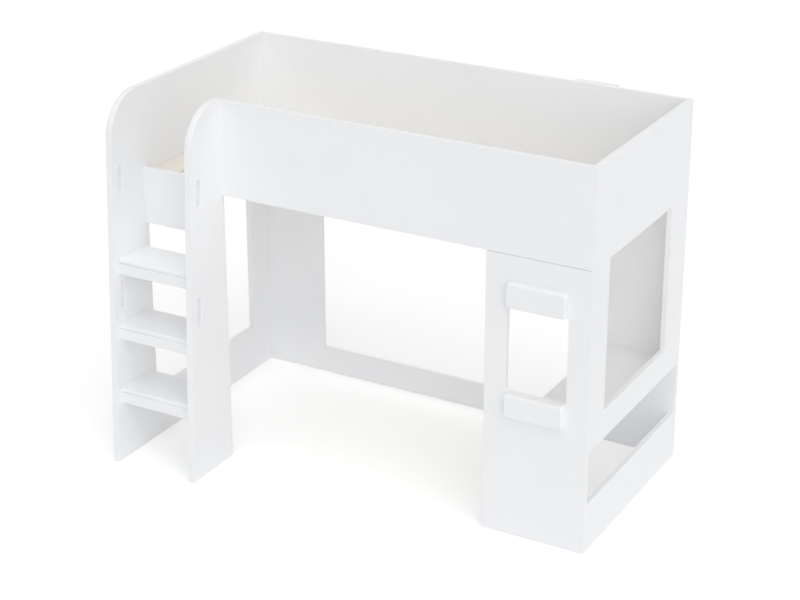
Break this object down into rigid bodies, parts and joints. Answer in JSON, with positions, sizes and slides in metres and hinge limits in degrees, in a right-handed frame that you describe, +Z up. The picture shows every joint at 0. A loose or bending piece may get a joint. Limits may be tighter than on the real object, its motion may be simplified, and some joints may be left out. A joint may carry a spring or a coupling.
{
  "type": "cabin bed",
  "caption": "Raised child's single bed with solid guards, a leaning side ladder with hand slots, an open play den below, and a front panel with a small window and a low shelf.",
  "frame": {"origin": "on the floor under the centre of the part's bounding box", "axes": "+X along the bed from the ladder end to the window end, +Y from the ladder side to the back, +Z up"},
  "size_m": [2.064, 1.245, 1.6],
  "materials": {
    "white_lacquer": "white satin lacquer on fibreboard",
    "pine": "planed pale pine, unpainted",
    "beech": "fluted beech, unpainted",
    "zinc_steel": "bright zinc plate"
  },
  "bodies": {
    "root": {"left_end_panel": "white_lacquer", "ladder_side": "white_lacquer", "entry_board": "white_lacquer", "front_guard": "white_lacquer", "window_panel": "white_lacquer", "window_header": "white_lacquer", "window_sill": "white_lacquer", "right_end_panel": "white_lacquer", "right_end_rail": "white_lacquer", "back_guard": "white_lacquer", "back_left_post": "white_lacquer", "back_bottom_rail": "white_lacquer", "back_right_panel": "white_lacquer", "desk_shelf": "white_lacquer", "lower_tread": "white_lacquer", "middle_tread": "white_lacquer", "upper_tread": "white_lacquer", "lower_apron": "white_lacquer", "middle_apron": "white_lacquer", "upper_apron": "white_lacquer", "wall_block": "white_lacquer", "front_bearer": "pine", "back_bearer": "pine", "slat_01": "pine", "slat_02": "pine", "slat_03": "pine", "slat_04": "pine", "slat_05": "pine", "slat_06": "pine", "slat_07": "pine", "slat_08": "pine", "slat_09": "pine", "slat_10": "pine", "slat_11": "pine", "slat_12": "pine", "cams": "zinc_steel", "cam_bolts": "zinc_steel", "bearer_screws": "zinc_steel", "slat_screws": "zinc_steel", "trim_screws": "zinc_steel", "wall_block_screws": "zinc_steel", "dowels": "beech"}
  },
  "joints": []
}
